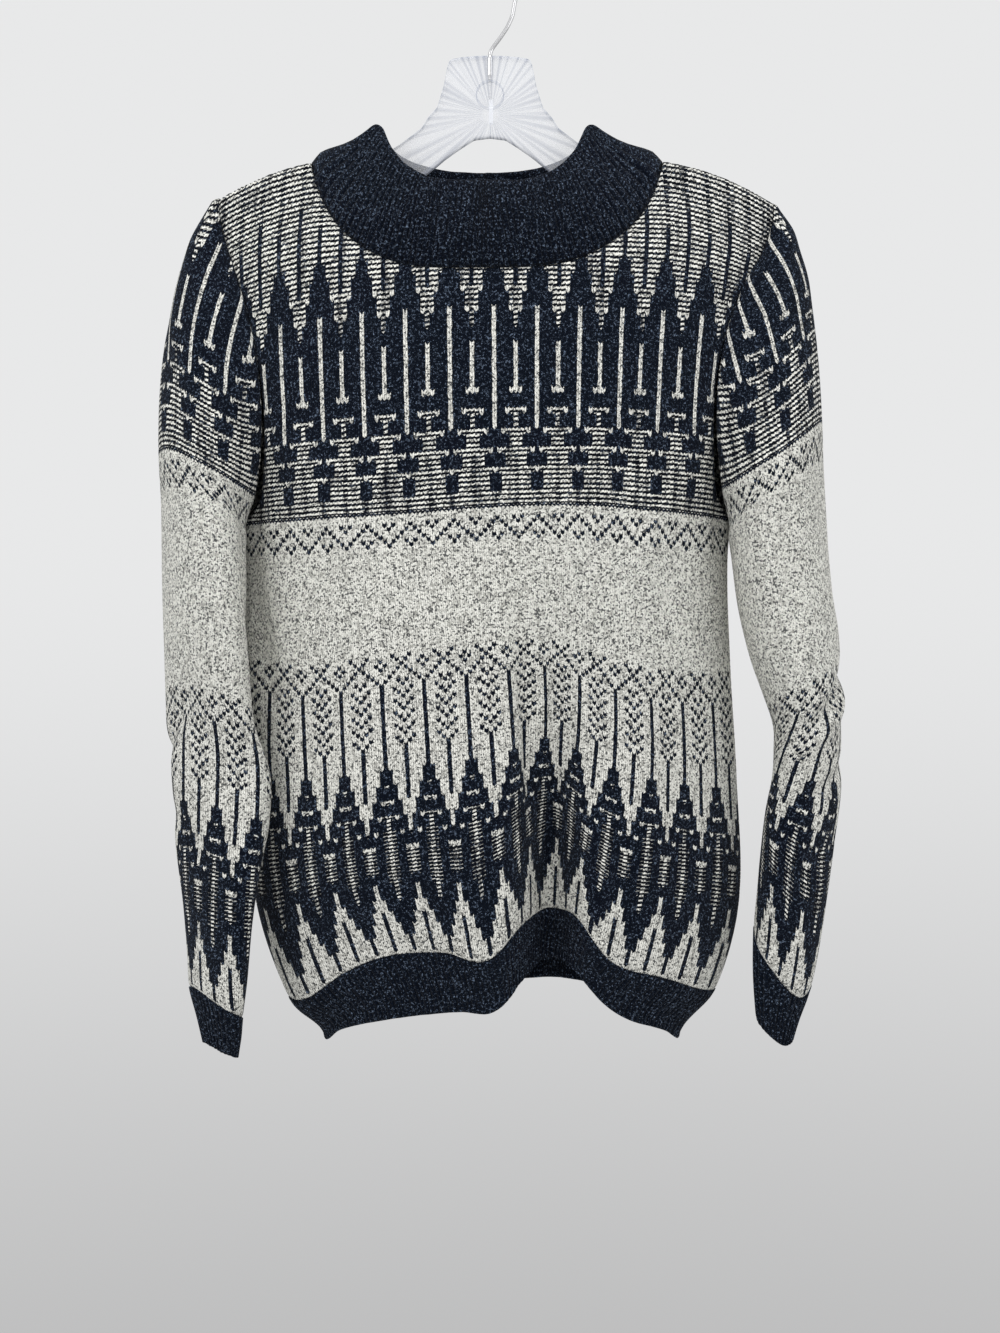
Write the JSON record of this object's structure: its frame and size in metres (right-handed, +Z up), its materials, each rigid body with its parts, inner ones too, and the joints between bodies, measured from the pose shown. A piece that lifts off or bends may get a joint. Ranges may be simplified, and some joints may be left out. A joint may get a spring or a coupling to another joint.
{
  "type": "fair isle jumper on a clear plastic clothes hanger",
  "caption": "Patterned mock-neck jumper hanging from a clear moulded hanger with a wire hook; hollow body and sleeves, ribbed collar, hem and cuffs, open neck, hem and wrists.",
  "frame": {"origin": "inside of the top of the hook's bend, where the rail bears", "axes": "+Z up, against the pull of the hung garment; -Y out of the front of the jumper; +X to the viewer's right, which is the wearer's left"},
  "size_m": [0.5179, 0.1386, 0.8389],
  "materials": {
    "knit_two_colour": "two-colour jacquard knitting in navy heather and cream marl wool yarn, soft and matt",
    "knit_rib": "one by one rib in navy heather wool yarn, soft and matt",
    "clear_plastic": "clear moulded plastic, glossy",
    "hook_wire": "bright plated steel wire"
  },
  "bodies": {
    "root": {"front": "knit_two_colour", "back": "knit_two_colour", "sleeve_left": "knit_two_colour", "sleeve_right": "knit_two_colour", "collar": "knit_rib", "hem_front": "knit_rib", "hem_back": "knit_rib", "cuff_left": "knit_rib", "cuff_right": "knit_rib", "hanger": "clear_plastic", "hook": "hook_wire"}
  },
  "joints": []
}
